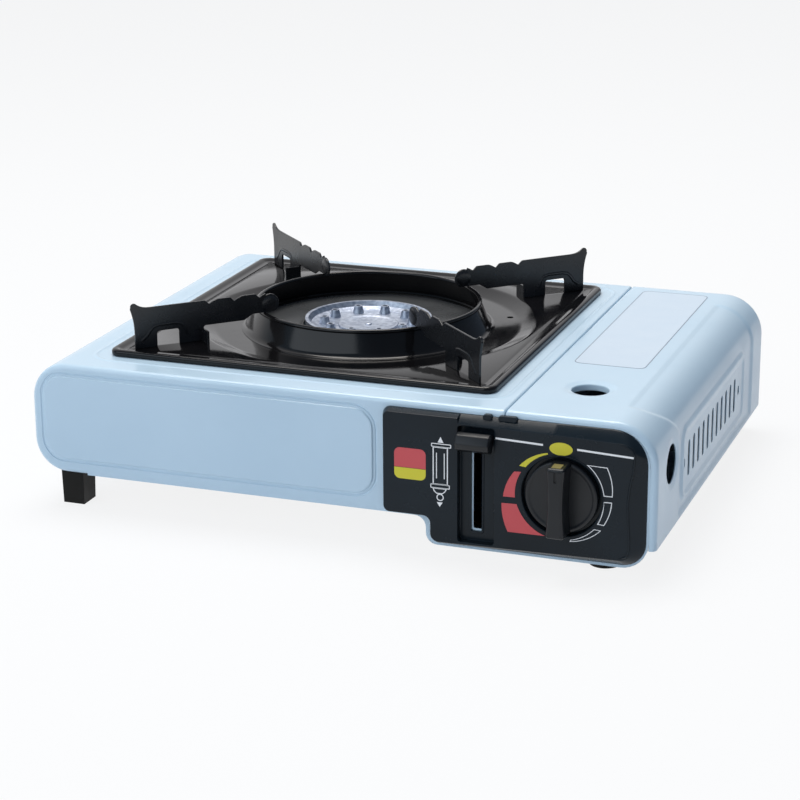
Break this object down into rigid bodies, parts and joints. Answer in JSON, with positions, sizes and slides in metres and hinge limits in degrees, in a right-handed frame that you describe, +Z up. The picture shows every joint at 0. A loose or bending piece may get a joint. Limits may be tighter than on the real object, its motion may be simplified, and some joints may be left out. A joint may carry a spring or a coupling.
{
  "type": "butane cassette stove",
  "caption": "Single-burner butane camping stove with a hinged cartridge bay lid, lock lever, gas knob and lift-off drip tray with pan supports.",
  "frame": {"origin": "centre of the whole object's footprint, on the surface that its feet stand on", "axes": "+Z up, front with the knob towards -Y, burner side towards -X, cartridge side towards +X"},
  "size_m": [0.34, 0.27, 0.1083],
  "materials": {
    "painted_steel": "satin pale blue powder coat",
    "panel_plastic": "satin black moulded plastic",
    "pointer_inlay": "painted yellow",
    "black_enamel": "gloss black enamel",
    "foot_plastic": "matt black",
    "cast_aluminium": "as cast",
    "brass": "turned",
    "rubber_seal": "matt",
    "igniter_plastic": "matt",
    "ceramic": "glazed white",
    "fastener_steel": "zinc plated",
    "galvanised_steel": "galvanised sheet",
    "burner_steel": "dull"
  },
  "bodies": {
    "root": {"top_case": "painted_steel", "base_tray": "galvanised_steel", "partition_plate": "galvanised_steel", "control_panel": "panel_plastic", "panel_screws": "fastener_steel", "regulator_body": "cast_aluminium", "diaphragm_cover": "galvanised_steel", "regulator_bracket": "galvanised_steel", "docking_collar": "galvanised_steel", "nozzle_seal": "rubber_seal", "gas_tube": "fastener_steel", "jet_holder": "brass", "mixing_tube": "galvanised_steel", "burner_head": "cast_aluminium", "burner_cap": "burner_steel", "burner_bracket": "galvanised_steel", "electrode": "ceramic", "electrode_wire": "fastener_steel", "igniter_lead": "igniter_plastic", "piezo_igniter": "igniter_plastic", "lever_bracket": "galvanised_steel", "lever_pin": "fastener_steel", "slide_rivets": "fastener_steel", "cartridge_cradles": "galvanised_steel", "foot_front_left": "foot_plastic", "foot_rear_left": "foot_plastic", "foot_front_right": "foot_plastic", "foot_rear_right": "foot_plastic", "base_screws": "fastener_steel", "lid_hinge_pins": "fastener_steel", "lid_bracket": "galvanised_steel"},
    "pan_top": {"drip_tray": "black_enamel", "wind_ring": "black_enamel", "pan_support_1": "black_enamel", "pan_support_2": "black_enamel", "pan_support_3": "black_enamel", "pan_support_4": "black_enamel"},
    "gas_lid": {"gas_lid": "painted_steel"},
    "gas_knob": {"knob": "panel_plastic", "knob_pointer": "pointer_inlay", "valve_spindle": "brass", "igniter_cam": "ceramic"},
    "lock_lever": {"lever_arm": "galvanised_steel", "lever_knob": "panel_plastic", "lever_link_pin": "fastener_steel"},
    "cartridge_pusher": {"pusher_slide": "galvanised_steel"}
  },
  "joints": [
    {"name": "lid_hinge", "type": "hinge", "parent": "root", "child": "gas_lid", "pos_m": [0.12, 0.13, 0.076], "axis": [-1, 0, 0], "range_deg": [0, 85]},
    {"name": "pan_top_lift", "type": "slide", "parent": "root", "child": "pan_top", "axis": [0, 0, 1], "range_m": [0, 0.1]},
    {"name": "knob_turn", "type": "hinge", "parent": "root", "child": "gas_knob", "pos_m": [0.1234, -0.117, 0.0414], "axis": [0, -1, 0], "range_deg": [0, 150]},
    {"name": "lever_swing", "type": "hinge", "parent": "root", "child": "lock_lever", "pos_m": [0.0782, -0.077, 0.0415], "axis": [1, 0, 0], "range_deg": [0, 54]},
    {"name": "pusher_travel", "type": "slide", "parent": "root", "child": "cartridge_pusher", "axis": [0, -1, 0], "range_m": [0, 0.00908]}
  ],
  "couplings": [
    {"joint": "pusher_travel", "follows": "lever_swing", "m_per_rad": 0.009634}
  ]
}
